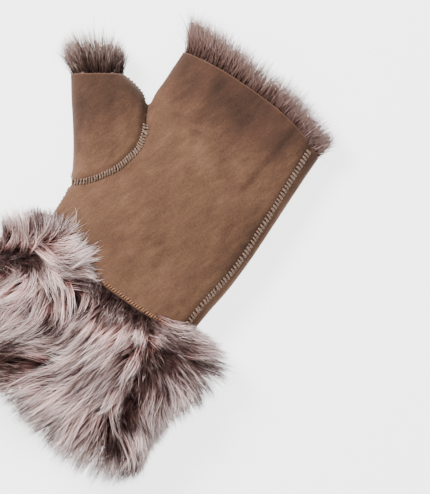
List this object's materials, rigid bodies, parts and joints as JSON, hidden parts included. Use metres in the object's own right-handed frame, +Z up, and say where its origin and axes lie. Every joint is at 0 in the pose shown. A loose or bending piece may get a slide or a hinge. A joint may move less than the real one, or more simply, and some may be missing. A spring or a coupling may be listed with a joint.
{
  "type": "fingerless fur mitten",
  "caption": "Fingerless sheepskin mitten lying flat: suede hand and thumb with wool inside, open at the fingertips and thumb tip, with a deep long-haired fur cuff at the wrist.",
  "frame": {"origin": "on the surface that the mitten lies on, under the middle of the palm", "axes": "+X towards the little finger's side, +Y towards the finger opening, +Z up from the surface"},
  "size_m": [0.1943, 0.2681, 0.0517],
  "materials": {
    "suede": "fine napped suede side of sheepskin",
    "wool": "short dense clipped wool",
    "fur": "long soft sheepskin fur, dark at the root and pale at the tip"
  },
  "bodies": {
    "root": {"hand_panel": "suede", "thumb_panel": "suede", "hand_wool": "wool", "thumb_wool": "wool", "cuff_fur": "fur"}
  },
  "joints": []
}
